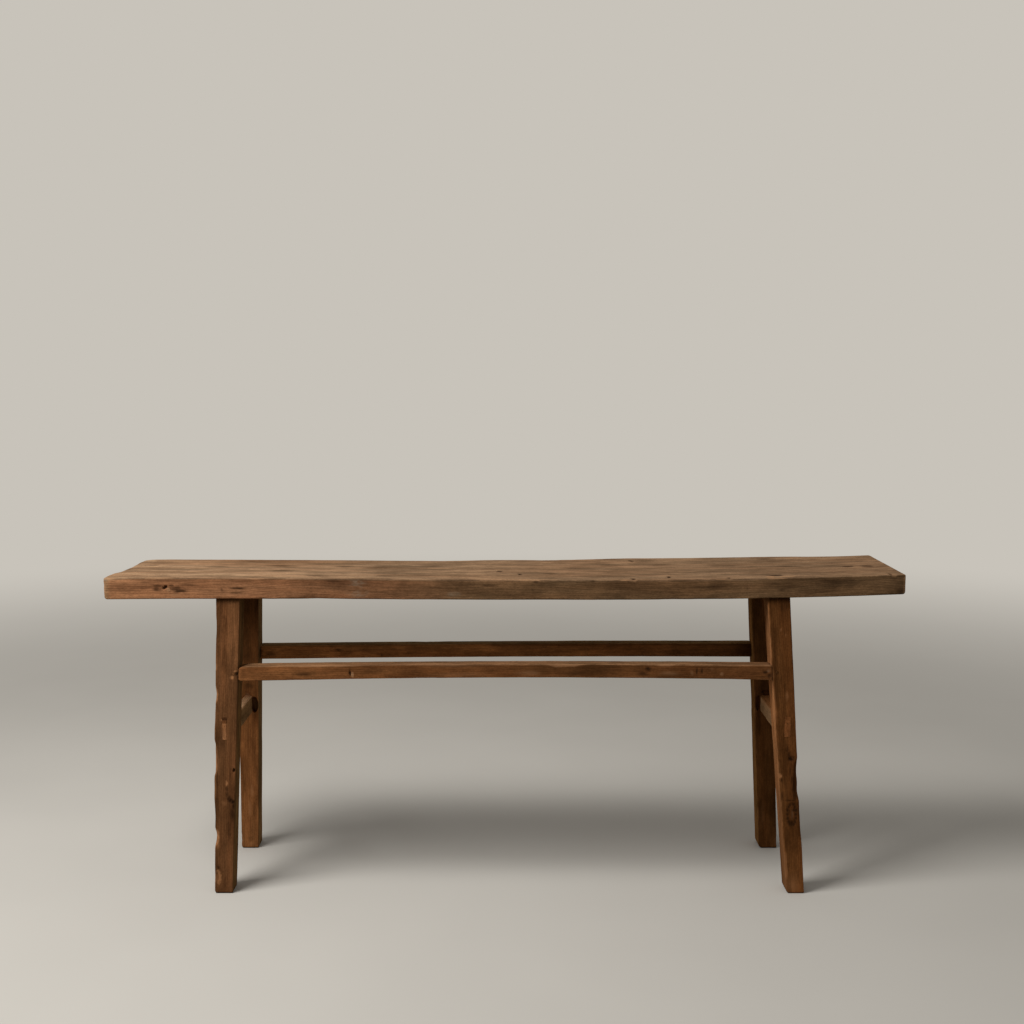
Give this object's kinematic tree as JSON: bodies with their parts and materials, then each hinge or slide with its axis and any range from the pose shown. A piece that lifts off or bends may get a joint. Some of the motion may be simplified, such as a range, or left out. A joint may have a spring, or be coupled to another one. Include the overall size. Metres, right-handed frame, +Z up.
{
  "type": "chinese console table",
  "caption": "Long narrow console table of worn solid timber: thick warped plank top on splayed tapering legs, tied by long and short tenoned stretchers.",
  "frame": {"origin": "on the floor, at the bottom centre of the table's box", "axes": "+X along the table towards its right end seen from the front, +Y from front to back, +Z up"},
  "size_m": [2.02, 0.398, 0.8217],
  "materials": {
    "plank_wood": "worn matt, old dry surface",
    "leg_wood": "worn satin, dark stain",
    "stretcher_wood": "worn satin, dark stain",
    "joint_wood": "bare end grain, matt"
  },
  "bodies": {
    "root": {"top_plank": "plank_wood", "front_left_leg": "leg_wood", "front_right_leg": "leg_wood", "back_left_leg": "leg_wood", "back_right_leg": "leg_wood", "front_stretcher": "stretcher_wood", "back_stretcher": "stretcher_wood", "left_side_stretcher": "stretcher_wood", "right_side_stretcher": "stretcher_wood", "stretcher_pegs": "joint_wood", "left_tenon_wedges": "joint_wood", "right_tenon_wedges": "joint_wood"}
  },
  "joints": []
}
